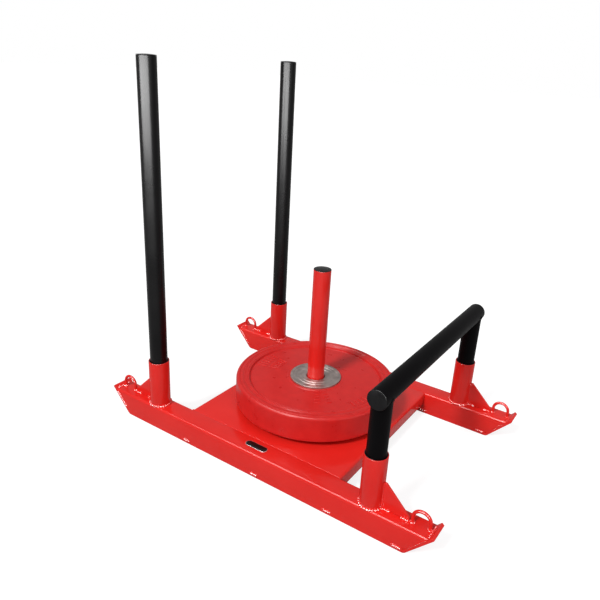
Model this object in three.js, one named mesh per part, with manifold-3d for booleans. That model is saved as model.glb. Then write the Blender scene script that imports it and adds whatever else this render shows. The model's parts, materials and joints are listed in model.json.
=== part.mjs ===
// Drag sled: two skid runners joined by a folded deck, with a load post that carries a bumper
// plate, two tall push poles and a low push bar that lift out of sockets, and a tow loop at
// each nose. Units are millimetres. +X points to the low-bar end, +Y to the left of someone
// who pushes at the tall poles, +Z up. The origin is on the floor, straight below the load post.

import * as THREE from 'three';
import { mergeVertices } from 'three/addons/utils/BufferGeometryUtils.js';
import Module from 'manifold-3d';

// Fits
const seatGap = 0.3;              // between two pieces that seat on each other
const slideGap = 0.3;             // all round a pole in its liner
const overrun = 10;               // how far a cutting tool runs past what it cuts

// Runners: square tubes on skid plates that are bent up at both noses
const sledLength = 1004;          // over the two lips
const runnerSpacing = 554;        // between the centre lines of the runners
const runnerSize = 58;            // side of the square tube
const runnerWall = 3;
const runnerCornerRadius = 6;
const skidThickness = 8;
const skidBendInside = 6;         // inner radius of the bend
const lipHeight = 70;             // of the nose's outer corner above the floor
const noseAngle = THREE.MathUtils.degToRad(48);

// Deck: one folded sheet between the runners, flush with their tops
const deckLength = 480;
const deckThickness = 5;
const deckBendInside = 2;         // inner radius of the fold
const deckFloorGap = 31;          // below the deck's folded edges

// Cross tubes and foot plate under the deck
const crossTubeSize = 30;
const crossTubeWall = 2.5;
const crossTubeCornerRadius = 4;
const crossTubeSpacing = 240;
const footPlateSide = 140;
const footPlateThickness = 6;
const footPlateCornerRadius = 10;

// Load post, and the flange round its foot that the bumper plate lies on
const postDiameter = 48;
const postWall = 3;
const postHeight = 404.5;         // above the deck
const baseFlangeDiameter = 160;
const baseFlangeThickness = 13;

// Bumper plate: a moulded rubber ring on a flanged steel hub
const plateDiameter = 450;
const plateThickness = 73;
const plateEdgeRadius = 8;
const plateRimWidth = 19;         // the full-depth band round the edge
const plateBandWidth = 17;        // the band inside it, a small step down
const plateBandStep = 1.5;
const plateStepSlope = 1.5;       // width of the slope between the two bands
const plateWebSlope = 5;          // width of the slope from the inner band to the web
const plateWebRecess = 5.5;       // of the web below the rim
const plateBoreGap = 1.4;         // all round the post
const hubFlangeDiameter = 144;
const hubFlangeThickness = 13;
const hubWaistDiameter = 104;
const hubLipWidth = 8;            // raised ring round the hub's face
const hubLipHeight = 1.2;
const hubBoreChamfer = 2;

// Poles, the low bar and the plastic plugs in their ends
const poleDiameter = 47;
const poleWall = 2.5;
const poleLength = 911;
const barAxisHeight = 345.5;      // of the low bar above the floor
const barOverhang = 26.5;         // of the cross tube past each leg's centre line
const capThickness = 3;
const capDomeRise = 1.6;
const plugLength = 16;
const plugWall = 2;

// Sockets, their liners and gussets
const socketSetback = 165;        // from the lip to the socket's centre line
const socketWall = 2;
const linerWall = 1.9;
const socketHeight = 132.4;
const gussetToeGap = 3;           // between a gusset's toe and the tow loop's foot
const gussetHeight = 69;
const gussetThickness = 6;
const gussetTopWidth = 5;         // of its blunt point at the socket
const gussetToeHeight = 8;        // of its blunt point at the tow loop

// Tow loops: round rod bent into a staple
const loopRodDiameter = 8;
const loopSpan = 41.5;            // between the centres of its two feet
const loopHeight = 41;            // above the runner
const loopEndGap = 2.8;           // between its outer foot and the end of the runner's top

// Badge: a blank oval plate on the right runner
const badgeLength = 66;
const badgeWidth = 21;
const badgeThickness = 1.2;
const badgeForward = 5.5;         // of its centre from the load post
const badgeInset = 3;             // of its centre from the runner's centre line, inwards

// Numbers of facets
const roundFacets = 32;
const plateFacets = 64;
const edgeFacets = 4;
const domeFacets = 2;
const cornerFacets = 2;
const rodFacets = 8;
const rodSteps = 16;

// Places that follow from the sizes above
const lipX = sledLength / 2;
const runnerY = runnerSpacing / 2;
const runnerBottom = skidThickness + seatGap;
const deckTop = runnerBottom + runnerSize;
const deckUnderside = deckTop - deckThickness;
const deckWidth = runnerSpacing - runnerSize - 2 * seatGap;
const seatLevel = deckTop + seatGap;
const footPlateTop = deckUnderside - seatGap;
const postFoot = footPlateTop + seatGap;
const postTop = deckTop + postHeight;
const plateSeat = seatLevel + baseFlangeThickness + seatGap;
const skidBendRadius = skidBendInside + skidThickness;
const skidCornerX = lipX - lipHeight / Math.tan(noseAngle);
const skidBendX = skidCornerX - skidBendRadius * Math.tan(noseAngle / 2);
const deckBendRadius = deckBendInside + deckThickness;
const socketX = lipX - socketSetback;
const linerDiameter = poleDiameter + 2 * (slideGap + linerWall);
const socketDiameter = linerDiameter + 2 * (seatGap + socketWall);
const loopX = noseX(skidThickness + seatGap, deckTop) - loopEndGap - (loopRodDiameter + loopSpan) / 2;
const loopFootX = loopX - (loopRodDiameter + loopSpan) / 2;
const gussetRootX = socketX + socketDiameter / 2 + seatGap;
const gussetReach = loopFootX - gussetToeGap - gussetRootX;
const barLength = runnerSpacing + 2 * barOverhang;

// Finishes
const redPaint = new THREE.MeshStandardMaterial({ color: 0xd8262b, roughness: 0.28, metalness: 0.1 });
const blackPaint = new THREE.MeshStandardMaterial({ color: 0x141414, roughness: 0.4, metalness: 0.2 });
const blackPlastic = new THREE.MeshStandardMaterial({ color: 0x0c0c0c, roughness: 0.55, metalness: 0 });
const redRubber = new THREE.MeshStandardMaterial({ color: 0xc4202d, roughness: 0.5, metalness: 0 });
const hubSteel = new THREE.MeshStandardMaterial({ color: 0x8c8680, roughness: 0.38, metalness: 0.9 });
const badgeMetal = new THREE.MeshStandardMaterial({ color: 0x1a1a1c, roughness: 0.3, metalness: 0.5 });

const wasm = await Module();
wasm.setup();

// An outline in (y, z) is drawn out along X, and an outline in (x, z) is drawn out along Y.
const axisX = new THREE.Vector3(1, 0, 0);
const axisY = new THREE.Vector3(0, 1, 0);
const axisZ = new THREE.Vector3(0, 0, 1);
const turnAlongX = new THREE.Matrix4().makeBasis(axisY, axisZ, axisX);
const turnAlongY = new THREE.Matrix4().makeBasis(axisX, axisZ, axisY.clone().negate());

function drawOut(outline, length) {
  const options = { depth: length, bevelEnabled: false, curveSegments: cornerFacets };
  const geometry = new THREE.ExtrudeGeometry(outline, options);
  geometry.translate(0, 0, -length / 2);
  return geometry;
}

function drawAlongX(outline, length) {
  return drawOut(outline, length).applyMatrix4(turnAlongX);
}

function drawAlongY(outline, length) {
  return drawOut(outline, length).applyMatrix4(turnAlongY);
}

// Turns a profile of [radius, height] pairs about the Z axis.
function revolve(profile, facets) {
  const points = profile.map(([radius, height]) => new THREE.Vector2(radius, height));
  return new THREE.LatheGeometry(points, facets).rotateX(Math.PI / 2);
}

// A round tube that stands on z = 0.
function roundTube(diameter, wall, length) {
  const outer = diameter / 2;
  const inner = outer - wall;
  return revolve([[inner, 0], [outer, 0], [outer, length], [inner, length], [inner, 0]], roundFacets);
}

function roundedRectangle(width, height, radius, path = new THREE.Shape()) {
  const x = width / 2 - radius;
  const y = height / 2 - radius;
  const quarter = Math.PI / 2;
  path.moveTo(width / 2, -y);
  path.absarc(x, y, radius, 0, quarter);
  path.absarc(-x, y, radius, quarter, 2 * quarter);
  path.absarc(-x, -y, radius, 2 * quarter, 3 * quarter);
  path.absarc(x, -y, radius, 3 * quarter, 4 * quarter);
  return path;
}

// A square tube's section: a rounded square with a smaller one taken out of it.
function squareTubeSection(side, wall, radius) {
  const section = roundedRectangle(side, side, radius);
  const bore = side - 2 * wall;
  section.holes.push(roundedRectangle(bore, bore, Math.max(radius - wall, radius / 2), new THREE.Path()));
  return section;
}

function toSolid(geometry) {
  const bare = geometry.clone();
  bare.deleteAttribute('normal');
  bare.deleteAttribute('uv');
  const merged = mergeVertices(bare);
  const corners = merged.index.array;
  const triVerts = [];
  for (let i = 0; i < corners.length; i += 3) {
    const [a, b, c] = corners.slice(i, i + 3);
    if (a !== b && b !== c && c !== a) {
      triVerts.push(a, b, c);
    }
  }
  const vertProperties = merged.attributes.position.array;
  const mesh = new wasm.Mesh({ numProp: 3, vertProperties, triVerts: Uint32Array.from(triVerts) });
  return new wasm.Manifold(mesh);
}

function toGeometry(solid) {
  const mesh = solid.getMesh();
  const geometry = new THREE.BufferGeometry();
  geometry.setAttribute('position', new THREE.BufferAttribute(mesh.vertProperties, mesh.numProp));
  geometry.setIndex(new THREE.BufferAttribute(mesh.triVerts, 1));
  geometry.computeVertexNormals();
  return geometry;
}

const sled = new THREE.Group();

function addPiece(group, name, geometry, material) {
  const piece = new THREE.Mesh(geometry, material);
  piece.name = name;
  group.add(piece);
  return piece;
}

const sides = [{ name: 'right', y: -runnerY }, { name: 'left', y: runnerY }];
const ends = [{ name: 'front', turn: 0 }, { name: 'rear', turn: Math.PI }];

// Lower edge of a runner, seen from the side: along the flat, round the bend and up the nose to
// a height. The inset is the distance inside the skid's outer face.
function noseEdge(path, inset, topHeight) {
  const radius = skidBendRadius - inset;
  const start = -Math.PI / 2;
  path.lineTo(skidBendX, inset);
  path.absarc(skidBendX, skidBendRadius, radius, start, start + noseAngle);
  path.lineTo(noseX(inset, topHeight), topHeight);
}

// Where the nose's outer face, moved inwards by the inset, reaches a height.
function noseX(inset, height) {
  return skidCornerX + height / Math.tan(noseAngle) - inset / Math.sin(noseAngle);
}

// An outline's front half is drawn first, and its points are mirrored for the rear half.
function mirroredOutline(drawFront) {
  const front = new THREE.Path();
  front.moveTo(0, 0);
  drawFront(front);
  const frontPoints = front.getPoints(cornerFacets).slice(1);
  const rearPoints = frontPoints.map((point) => new THREE.Vector2(-point.x, point.y)).reverse();
  return new THREE.Shape([...frontPoints, ...rearPoints]);
}

// Skid plate: a flat strip, bent up at both ends and cut off square to its face.
function skidOutline() {
  return mirroredOutline((path) => {
    noseEdge(path, 0, lipHeight);
    const lipTop = lipHeight + skidThickness * Math.cos(noseAngle);
    const start = -Math.PI / 2;
    path.lineTo(noseX(skidThickness, lipTop), lipTop);
    path.absarc(skidBendX, skidBendRadius, skidBendInside, start + noseAngle, start, true);
  });
}

// Runner tube: its ends are cut to lie against the inside of the skid's noses.
function runnerTube() {
  const section = squareTubeSection(runnerSize, runnerWall, runnerCornerRadius);
  const tube = drawAlongX(section, sledLength).translate(0, 0, runnerBottom + runnerSize / 2);
  const cut = mirroredOutline((path) => {
    noseEdge(path, skidThickness + seatGap, deckTop + overrun);
  });
  const envelope = drawAlongY(cut, runnerSize + 2 * overrun);
  return toGeometry(toSolid(tube).intersect(toSolid(envelope)));
}

for (const side of sides) {
  const runner = new THREE.Group();
  runner.position.y = side.y;
  addPiece(runner, `runner_tube_${side.name}`, runnerTube(), redPaint);
  addPiece(runner, `skid_plate_${side.name}`, drawAlongY(skidOutline(), runnerSize), redPaint);
  sled.add(runner);
}

// Deck: a flat sheet with its front and rear edges folded down, and a hole for the load post.
function deckOutline() {
  const foldX = deckLength / 2 - deckBendRadius;
  const foldZ = deckTop - deckBendRadius;
  const quarter = Math.PI / 2;
  return mirroredOutline((path) => {
    path.lineTo(foldX, deckUnderside);
    path.absarc(foldX, foldZ, deckBendInside, quarter, 0, true);
    path.lineTo(foldX + deckBendInside, deckFloorGap);
    path.lineTo(foldX + deckBendRadius, deckFloorGap);
    path.absarc(foldX, foldZ, deckBendRadius, 0, quarter);
  });
}

const postHoleRadius = postDiameter / 2 + seatGap;
const deckHoleDepth = deckThickness + 2 * overrun;
const deckDrill = new THREE.CylinderGeometry(postHoleRadius, postHoleRadius, deckHoleDepth, roundFacets)
  .rotateX(Math.PI / 2)
  .translate(0, 0, deckTop - deckThickness / 2);
const deckSheet = toSolid(drawAlongY(deckOutline(), deckWidth)).subtract(toSolid(deckDrill));
addPiece(sled, 'deck_plate', toGeometry(deckSheet), redPaint);

// Cross tubes run from runner to runner, close under the deck.
const crossSection = squareTubeSection(crossTubeSize, crossTubeWall, crossTubeCornerRadius);
for (const end of ends) {
  const half = new THREE.Group();
  half.rotation.z = end.turn;
  const tube = addPiece(half, `cross_tube_${end.name}`, drawAlongY(crossSection, deckWidth), redPaint);
  tube.position.set(crossTubeSpacing / 2, 0, deckUnderside - seatGap - crossTubeSize / 2);
  sled.add(half);
}

// Foot plate: a doubler under the deck that the load post stands on.
const footOutline = roundedRectangle(footPlateSide, footPlateSide, footPlateCornerRadius);
const footPlate = addPiece(sled, 'post_foot_plate', drawOut(footOutline, footPlateThickness), redPaint);
footPlate.position.z = footPlateTop - footPlateThickness / 2;

// A plastic plug for a round tube's end: a domed disc as wide as the tube, on a hollow shank.
// The tube ends at z = 0, and the shank hangs below it.
function tubePlug(diameter, wall) {
  const rim = diameter / 2;
  const shank = rim - wall - slideGap;
  const bore = shank - plugWall;
  const top = seatGap + capThickness;
  const profile = [
    [0, seatGap],
    [bore, seatGap],
    [bore, -plugLength],
    [shank, -plugLength],
    [shank, seatGap],
    [rim, seatGap],
  ];
  for (let i = 0; i <= domeFacets; i += 1) {
    const share = 1 - i / domeFacets;
    profile.push([rim * share, top - capDomeRise * share * share]);
  }
  return revolve(profile, roundFacets);
}

// Load post, let through a flange and the deck, and closed by a plug
const post = new THREE.Group();
const flangeWall = baseFlangeDiameter / 2 - postHoleRadius;
const flangeDisc = roundTube(baseFlangeDiameter, flangeWall, baseFlangeThickness);
const baseFlange = addPiece(post, 'post_base_flange', flangeDisc, redPaint);
baseFlange.position.z = seatLevel;
const postShape = roundTube(postDiameter, postWall, postTop - postFoot);
const postTube = addPiece(post, 'load_post', postShape, redPaint);
postTube.position.z = postFoot;
const postCap = addPiece(post, 'post_cap', tubePlug(postDiameter, postWall), blackPlastic);
postCap.position.z = postTop;
sled.add(post);

// Bumper plate. Heights in its profiles are above its underside.

// A profile that is the same above and below the middle of the plate.
function mirroredProfile(upper) {
  const lower = upper.map(([radius, height]) => [radius, plateThickness - height]).reverse();
  return [...upper, ...lower, upper[0]];
}

// Rubber ring: a full-depth rim with rounded edges, a band inside it, a recessed web, and a
// groove round the bore on each face that the hub's flanges sit in.
function bumperRing() {
  const outer = plateDiameter / 2;
  const rimInner = outer - plateRimWidth;
  const bandInner = rimInner - plateBandWidth;
  const band = plateThickness - plateBandStep;
  const web = plateThickness - plateWebRecess;
  const flangeSeat = hubFlangeDiameter / 2 + seatGap;
  const waistSeat = hubWaistDiameter / 2 + seatGap;
  const seat = plateThickness - hubFlangeThickness - seatGap;
  const upper = [];
  for (let i = 0; i <= edgeFacets; i += 1) {
    const angle = (Math.PI / 2) * (i / edgeFacets);
    upper.push([
      outer - plateEdgeRadius * (1 - Math.cos(angle)),
      plateThickness - plateEdgeRadius * (1 - Math.sin(angle)),
    ]);
  }
  upper.push(
    [rimInner, plateThickness],
    [rimInner - plateStepSlope, band],
    [bandInner, band],
    [bandInner - plateWebSlope, web],
    [flangeSeat, web],
    [flangeSeat, seat],
    [waistSeat, seat],
  );
  return revolve(mirroredProfile(upper), plateFacets);
}

// Steel hub: two flanges on a waist, each flange with a raised lip, and a chamfered bore.
function plateHub() {
  const flange = hubFlangeDiameter / 2;
  const flangeBack = plateThickness - hubFlangeThickness;
  const face = plateThickness - hubLipHeight;
  const bore = postDiameter / 2 + plateBoreGap;
  const upper = [
    [hubWaistDiameter / 2, flangeBack],
    [flange, flangeBack],
    [flange, plateThickness],
    [flange - hubLipWidth, plateThickness],
    [flange - hubLipWidth, face],
    [bore + hubBoreChamfer, face],
    [bore, face - hubBoreChamfer],
  ];
  return revolve(mirroredProfile(upper), plateFacets);
}

const weightPlate = new THREE.Group();
weightPlate.position.z = plateSeat;
addPiece(weightPlate, 'bumper_ring', bumperRing(), redRubber);
addPiece(weightPlate, 'plate_hub', plateHub(), hubSteel);
sled.add(weightPlate);

// Gusset: a flat triangle with blunt points, in the angle between a socket and its runner.
function gussetOutline() {
  return new THREE.Shape([
    new THREE.Vector2(0, 0),
    new THREE.Vector2(gussetReach, 0),
    new THREE.Vector2(gussetReach, gussetToeHeight),
    new THREE.Vector2(gussetTopWidth, gussetHeight),
    new THREE.Vector2(0, gussetHeight),
  ]);
}

// Centre line of a tow loop: straight up, half a circle over, and straight down again.
class LoopLine extends THREE.Curve {
  constructor(span, height) {
    super();
    this.radius = span / 2;
    this.leg = height - this.radius;
  }

  getPoint(share, target = new THREE.Vector3()) {
    const half = Math.PI * this.radius / 2;
    const run = (2 * share - 1) * (half + this.leg);
    const angle = THREE.MathUtils.clamp(run, -half, half) / this.radius;
    const down = Math.max(Math.abs(run) - half, 0);
    return target.set(this.radius * Math.sin(angle), 0, this.leg - down + this.radius * Math.cos(angle));
  }
}

function towLoop() {
  const rod = loopRodDiameter / 2;
  const corners = [];
  for (let i = 0; i < rodFacets; i += 1) {
    const angle = 2 * Math.PI * (i / rodFacets);
    corners.push(new THREE.Vector2(rod * Math.cos(angle), rod * Math.sin(angle)));
  }
  const line = new LoopLine(loopSpan, loopHeight - rod - seatGap);
  return new THREE.ExtrudeGeometry(new THREE.Shape(corners), { steps: rodSteps, extrudePath: line });
}

// A socket with its liner, its gusset and the tow loop before it, at each end of each runner.
for (const end of ends) {
  for (const side of sides) {
    const corner = new THREE.Group();
    const place = `${end.name}_${side.name}`;
    corner.position.set(0, side.y, seatLevel);
    corner.rotation.z = end.turn;
    const socket = addPiece(
      corner, `socket_${place}`, roundTube(socketDiameter, socketWall, socketHeight), redPaint,
    );
    socket.position.x = socketX;
    const liner = addPiece(
      corner, `liner_${place}`, roundTube(linerDiameter, linerWall, socketHeight), blackPlastic,
    );
    liner.position.x = socketX;
    const gusset = addPiece(
      corner, `gusset_${place}`, drawAlongY(gussetOutline(), gussetThickness), redPaint,
    );
    gusset.position.x = gussetRootX;
    const loop = addPiece(corner, `tow_loop_${place}`, towLoop(), redPaint);
    loop.position.x = loopX;
    sled.add(corner);
  }
}

// Tall push poles, in the rear sockets.
for (const side of sides) {
  const pole = new THREE.Group();
  pole.position.set(-socketX, side.y, seatLevel);
  addPiece(pole, `push_pole_${side.name}`, roundTube(poleDiameter, poleWall, poleLength), blackPaint);
  const cap = addPiece(pole, `pole_cap_${side.name}`, tubePlug(poleDiameter, poleWall), blackPlastic);
  cap.position.z = poleLength;
  sled.add(pole);
}

// Low push bar: a cross tube on two legs that stand in the front sockets. Each leg's top is
// coped to the round of the cross tube.
const barDrop = barAxisHeight - seatLevel;
const barCutRadius = poleDiameter / 2 + seatGap;
const barCutLength = poleDiameter + 2 * overrun;
const barCutter = new THREE.CylinderGeometry(barCutRadius, barCutRadius, barCutLength, roundFacets)
  .translate(0, 0, barDrop);
const legBlank = roundTube(poleDiameter, poleWall, barDrop);
const copedLeg = toGeometry(toSolid(legBlank).subtract(toSolid(barCutter)));

const lowBar = new THREE.Group();
lowBar.position.set(socketX, 0, seatLevel);
const barTube = addPiece(lowBar, 'low_bar_tube', roundTube(poleDiameter, poleWall, barLength), blackPaint);
barTube.position.set(0, barLength / 2, barDrop);
barTube.rotation.x = Math.PI / 2;
for (const side of sides) {
  const leg = addPiece(lowBar, `low_bar_leg_${side.name}`, copedLeg, blackPaint);
  leg.position.y = side.y;
  const outward = Math.sign(side.y);
  const cap = addPiece(lowBar, `low_bar_cap_${side.name}`, tubePlug(poleDiameter, poleWall), blackPlastic);
  cap.position.set(0, outward * barLength / 2, barDrop);
  cap.rotation.x = -outward * Math.PI / 2;
}
sled.add(lowBar);

// Badge
const badgeOutline = roundedRectangle(badgeLength, badgeWidth, badgeWidth / 2);
const badge = addPiece(sled, 'badge_plate', drawOut(badgeOutline, badgeThickness), badgeMetal);
badge.position.set(badgeForward, -runnerY + badgeInset, seatLevel + badgeThickness / 2);

export default sled;
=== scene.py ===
import json
import math

import bmesh
import bpy
import numpy as np
from mathutils import Matrix, Vector

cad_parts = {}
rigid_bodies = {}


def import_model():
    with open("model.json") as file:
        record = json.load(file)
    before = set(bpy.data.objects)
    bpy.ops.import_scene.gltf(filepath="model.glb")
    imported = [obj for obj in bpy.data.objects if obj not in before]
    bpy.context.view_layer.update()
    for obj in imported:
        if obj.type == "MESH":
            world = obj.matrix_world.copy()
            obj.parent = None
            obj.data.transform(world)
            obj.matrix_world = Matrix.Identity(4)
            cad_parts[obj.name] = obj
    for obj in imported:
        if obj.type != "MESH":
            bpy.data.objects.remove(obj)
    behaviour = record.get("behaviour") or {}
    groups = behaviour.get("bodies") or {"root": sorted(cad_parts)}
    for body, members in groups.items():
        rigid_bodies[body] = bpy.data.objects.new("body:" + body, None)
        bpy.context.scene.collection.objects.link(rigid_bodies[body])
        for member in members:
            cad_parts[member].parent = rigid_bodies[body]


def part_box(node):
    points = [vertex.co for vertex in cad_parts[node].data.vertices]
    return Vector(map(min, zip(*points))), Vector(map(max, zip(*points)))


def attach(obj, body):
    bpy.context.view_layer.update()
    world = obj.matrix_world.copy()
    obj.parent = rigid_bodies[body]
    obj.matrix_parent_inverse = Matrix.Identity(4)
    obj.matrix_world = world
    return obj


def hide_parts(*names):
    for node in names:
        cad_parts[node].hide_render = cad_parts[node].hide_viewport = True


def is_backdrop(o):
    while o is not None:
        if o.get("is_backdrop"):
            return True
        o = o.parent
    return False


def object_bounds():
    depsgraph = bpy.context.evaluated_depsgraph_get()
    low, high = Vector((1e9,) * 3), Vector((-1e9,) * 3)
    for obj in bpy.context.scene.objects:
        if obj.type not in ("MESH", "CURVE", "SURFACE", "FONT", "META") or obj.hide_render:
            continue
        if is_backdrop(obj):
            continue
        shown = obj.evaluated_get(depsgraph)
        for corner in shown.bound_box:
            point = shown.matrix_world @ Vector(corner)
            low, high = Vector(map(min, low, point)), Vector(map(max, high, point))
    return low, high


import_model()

cad_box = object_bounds()

# Runner tubes: two lengths of square steel tube with rounded corners. Both ends are cut at a
# slant to lie inside the bent noses of the skid plates. The whole frame is welded first and
# then powder coated in one gloss red.
MM = 0.001
SIDES = {"right": -1, "left": 1}
GAP = 0.3 * MM
TUBE_WALL = 3 * MM
TUBE_CORNER = 6 * MM
SKID_THICKNESS = 8 * MM
SKID_BEND_INSIDE = 6 * MM
NOSE_ANGLE = math.radians(48)
SAME_POINT = 0.001 * MM
CREASE = 35


def rounded(corners, radii, steps=6):
    """Rounds the corners of a closed outline. Each corner becomes an arc that touches both of its
    sides, and the arc's points are the turn from one touching radius to the other."""
    corners = np.asarray(corners, float)
    radii = np.broadcast_to(np.asarray(radii, float), len(corners))[:, None]
    to_last = np.roll(corners, 1, 0) - corners
    to_next = np.roll(corners, -1, 0) - corners
    to_last /= np.linalg.norm(to_last, axis=1, keepdims=True)
    to_next /= np.linalg.norm(to_next, axis=1, keepdims=True)
    opening = np.arccos(np.clip((to_last * to_next).sum(1, keepdims=True), -1, 1))
    touch = radii / np.tan(opening / 2)
    middle = to_last + to_next
    middle /= np.maximum(np.linalg.norm(middle, axis=1, keepdims=True), 1e-9)
    centres = corners + middle * radii / np.sin(opening / 2)
    first = (corners + to_last * touch - centres)[:, None]
    last = (corners + to_next * touch - centres)[:, None]
    turn = np.maximum(math.pi - opening, 1e-6)[:, None]
    share = np.linspace(0, 1, steps + 1)[None, :, None]
    arcs = (np.sin((1 - share) * turn) * first + np.sin(share * turn) * last) / np.sin(turn)
    return (centres[:, None] + arcs).reshape(-1, 2)


def rectangle(width, height, radius, steps=6):
    """A rectangle round the origin with rounded corners."""
    x, y = width / 2, height / 2
    return rounded([(x, -y), (x, y), (-x, y), (-x, -y)], radius, steps)


def closed(grid, caps=False):
    """The faces between neighbouring points of a grid whose rows are loops. The last row joins
    the first one, or with caps each of the two is drawn together to a point at its middle."""
    if caps:
        middles = [grid[end].mean(0, keepdims=True) for end in (0, -1)]
        first, last = (np.repeat(middle, grid.shape[1], 0)[None] for middle in middles)
        grid = np.concatenate([first, grid, last])
    rows, columns = grid.shape[:2]
    row = np.arange(rows - 1 if caps else rows)[:, None]
    column = np.arange(columns)[None, :]
    here, after = row * columns, (row + 1) % rows * columns
    beside = (column + 1) % columns
    faces = np.stack([here + column, here + beside, after + beside, after + column], -1)
    return grid.reshape(-1, 3), faces.reshape(-1, 4)


def clean(mesh):
    """Welds a mesh's doubled points and turns all its faces outwards."""
    shape = bmesh.new()
    shape.from_mesh(mesh)
    bmesh.ops.remove_doubles(shape, verts=shape.verts, dist=SAME_POINT)
    bmesh.ops.recalc_face_normals(shape, faces=shape.faces)
    shape.to_mesh(mesh)
    shape.free()


def make_piece(name, surfaces, material, body, nodes=(), crease=CREASE):
    """Joins closed surfaces into one clean mesh, and shades it smooth but for edges sharper than
    the crease angle. The piece rides on its body and stands for the nodes named."""
    points, faces, start = [], [], 0
    for surface_points, surface_faces in surfaces:
        points.append(surface_points)
        faces.append(surface_faces + start)
        start += len(surface_points)
    mesh = bpy.data.meshes.new(name)
    mesh.from_pydata(np.concatenate(points), [], np.concatenate(faces))
    clean(mesh)
    mesh.shade_smooth()
    mesh.set_sharp_from_angle(angle=math.radians(crease))
    mesh.materials.append(material)
    piece = bpy.data.objects.new(name, mesh)
    bpy.context.collection.objects.link(piece)
    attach(piece, body)
    if nodes:
        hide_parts(*nodes)
    return piece


def new_group(name, inputs, outputs):
    """An empty shader node group with named number inputs and outputs."""
    group = bpy.data.node_groups.new(name, "ShaderNodeTree")
    for label, default in inputs.items():
        socket = group.interface.new_socket(label, in_out="INPUT", socket_type="NodeSocketFloat")
        socket.default_value = default
    for label in outputs:
        group.interface.new_socket(label, in_out="OUTPUT", socket_type="NodeSocketFloat")
    return group, group.nodes.new("NodeGroupInput"), group.nodes.new("NodeGroupOutput")


def object_noise(nodes, links, detail):
    """A noise that reads the place on the object, and the node whose scale it takes."""
    place = nodes.new("ShaderNodeTexCoord")
    noise = nodes.new("ShaderNodeTexNoise")
    noise.inputs["Detail"].default_value = detail
    links.new(place.outputs["Object"], noise.inputs["Vector"])
    return noise


def mapped(nodes, links, value, low, high, start=0.3, end=0.7):
    """Stretches a value from the range start to end onto low to high."""
    span = nodes.new("ShaderNodeMapRange")
    span.inputs["From Min"].default_value = start
    span.inputs["From Max"].default_value = end
    for socket, bound in (("To Min", low), ("To Max", high)):
        if isinstance(bound, bpy.types.NodeSocket):
            links.new(bound, span.inputs[socket])
        else:
            span.inputs[socket].default_value = bound
    links.new(value, span.inputs["Value"])
    return span.outputs["Result"]


def finish_from(nodes, links, given, put, value):
    """Lets a value choose the roughness, from the low to the high gloss given, and the tone."""
    limits = given.outputs["Gloss Low"], given.outputs["Gloss High"]
    links.new(mapped(nodes, links, value, *limits), put.inputs["Roughness"])
    links.new(mapped(nodes, links, value, 0, 1), put.inputs["Tone"])


WAVE_TO_RIPPLE = 6
PATCH_SCALE = 9


def build_coat_group():
    """Powder coat: a fine ripple left by the melted powder, a slower waviness of the sheet under
    it, and gloss that changes a little from place to place."""
    group, given, put = new_group(
        "powder_coat", {"Ripple Scale": 320, "Wave Scale": 18, "Gloss Low": 0.2, "Gloss High": 0.3},
        ["Height", "Roughness", "Tone"],
    )
    nodes, links = group.nodes, group.links
    ripple = object_noise(nodes, links, 2)
    links.new(given.outputs["Ripple Scale"], ripple.inputs["Scale"])
    wave = object_noise(nodes, links, 1)
    links.new(given.outputs["Wave Scale"], wave.inputs["Scale"])
    height = nodes.new("ShaderNodeMath")
    height.operation = "MULTIPLY_ADD"
    height.inputs[1].default_value = WAVE_TO_RIPPLE
    links.new(wave.outputs["Fac"], height.inputs[0])
    links.new(ripple.outputs["Fac"], height.inputs[2])
    links.new(height.outputs["Value"], put.inputs["Height"])
    patch = object_noise(nodes, links, 3)
    patch.inputs["Scale"].default_value = PATCH_SCALE
    finish_from(nodes, links, given, put, patch.outputs["Fac"])
    return group


coat_group = build_coat_group()


def coated(name, group, settings, tones, bump, shader_values):
    """A material whose colour runs between two tones. Its relief, as deep as the bump says, and
    its roughness come from a group."""
    material = bpy.data.materials.new(name)
    material.use_nodes = True
    nodes, links = material.node_tree.nodes, material.node_tree.links
    shader = nodes["Principled BSDF"]
    for socket, value in shader_values.items():
        shader.inputs[socket].default_value = value
    coat = nodes.new("ShaderNodeGroup")
    coat.node_tree = group
    for socket, value in settings.items():
        coat.inputs[socket].default_value = value
    blend = nodes.new("ShaderNodeMix")
    blend.data_type = "RGBA"
    blend.inputs["A"].default_value = (*tones[0], 1)
    blend.inputs["B"].default_value = (*tones[1], 1)
    links.new(coat.outputs["Tone"], blend.inputs["Factor"])
    links.new(blend.outputs["Result"], shader.inputs["Base Color"])
    links.new(coat.outputs["Roughness"], shader.inputs["Roughness"])
    relief = nodes.new("ShaderNodeBump")
    relief.inputs["Strength"].default_value = 1
    relief.inputs["Distance"].default_value = bump
    links.new(coat.outputs["Height"], relief.inputs["Height"])
    links.new(relief.outputs["Normal"], shader.inputs["Normal"])
    return material


red_paint = coated(
    "red_powder_coat", coat_group,
    {"Gloss Low": 0.14, "Gloss High": 0.2},
    ((0.66, 0.014, 0.010), (0.71, 0.018, 0.013)),
    0.02 * MM,
    {"IOR": 1.42},
)


def nose_x(node_top_x, node_top_z, z):
    """Where the slanted end of a runner tube lies at a height. It follows the nose's inner face
    down from the tube's top corner, and the inside of the skid's bend below that."""
    slant = node_top_x - (node_top_z - z) / math.tan(NOSE_ANGLE)
    radius = SKID_BEND_INSIDE - GAP
    centre_z = SKID_THICKNESS + SKID_BEND_INSIDE
    touch_z = centre_z - radius * math.cos(NOSE_ANGLE)
    touch_x = node_top_x - (node_top_z - touch_z) / math.tan(NOSE_ANGLE)
    centre_x = touch_x - radius * math.sin(NOSE_ANGLE)
    drop = np.clip(centre_z - z, 0, radius)
    return np.where(z < touch_z, centre_x + np.sqrt(radius**2 - drop**2), slant)


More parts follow.
